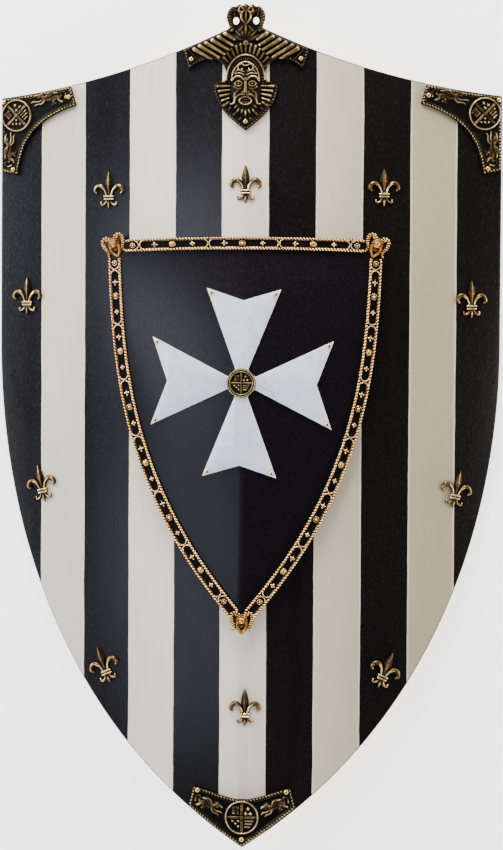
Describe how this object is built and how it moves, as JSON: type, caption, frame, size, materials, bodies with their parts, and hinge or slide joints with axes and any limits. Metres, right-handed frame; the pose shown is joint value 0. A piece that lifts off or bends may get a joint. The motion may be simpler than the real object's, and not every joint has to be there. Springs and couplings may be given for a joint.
{
  "type": "decorative wooden shield",
  "caption": "Heater-shaped decorative shield of bent plywood in black and white stripes, with a raised panel, white cross and cast brass fittings.",
  "frame": {"origin": "centre of the bounding box in X and Y, on the surface that the shield lies on", "axes": "+Y up the shield towards its crest, +X to the right seen from the front, +Z out of the front face; the shield lies on its back"},
  "size_m": [0.4326, 0.72, 0.0511],
  "materials": {
    "striped_board": "birch-faced plywood painted in black and off-white stripes, satin lacquer",
    "black_panel": "plywood in satin black lacquer",
    "white_paint": "white gloss paint",
    "gilt_brass": "bright cast brass with black-filled grounds",
    "antique_brass": "cast brass, darkened in the recesses and rubbed bright on top",
    "polished_brass": "cast brass, polished",
    "nail_brass": "domed brass nails"
  },
  "bodies": {
    "root": {"board": "striped_board", "bottom_knot": "gilt_brass", "crest_plate": "antique_brass", "cross": "white_paint", "inner_panel": "black_panel", "left_corner_plate": "antique_brass", "left_knot": "gilt_brass", "left_strip": "gilt_brass", "lily_foot_left": "polished_brass", "lily_foot_middle": "polished_brass", "lily_foot_right": "polished_brass", "lily_lower_left": "polished_brass", "lily_lower_right": "polished_brass", "lily_side_left": "polished_brass", "lily_side_right": "polished_brass", "lily_upper_left": "polished_brass", "lily_upper_middle": "polished_brass", "lily_upper_right": "polished_brass", "medallion": "antique_brass", "nail_crest_plate_1": "nail_brass", "nail_crest_plate_2": "nail_brass", "nail_crest_plate_3": "nail_brass", "nail_cross_1": "nail_brass", "nail_cross_2": "nail_brass", "nail_cross_3": "nail_brass", "nail_cross_4": "nail_brass", "nail_cross_5": "nail_brass", "nail_cross_6": "nail_brass", "nail_cross_7": "nail_brass", "nail_cross_8": "nail_brass", "nail_left_corner_plate_1": "nail_brass", "nail_left_corner_plate_2": "nail_brass", "nail_left_corner_plate_3": "nail_brass", "nail_right_corner_plate_1": "nail_brass", "nail_right_corner_plate_2": "nail_brass", "nail_right_corner_plate_3": "nail_brass", "nail_strip_1": "nail_brass", "nail_strip_2": "nail_brass", "nail_strip_3": "nail_brass", "nail_strip_4": "nail_brass", "nail_strip_5": "nail_brass", "nail_strip_6": "nail_brass", "nail_strip_7": "nail_brass", "nail_strip_8": "nail_brass", "nail_tip_plate_1": "nail_brass", "nail_tip_plate_2": "nail_brass", "nail_tip_plate_3": "nail_brass", "right_corner_plate": "antique_brass", "right_knot": "gilt_brass", "right_strip": "gilt_brass", "tip_plate": "antique_brass", "top_strip": "gilt_brass"}
  },
  "joints": []
}
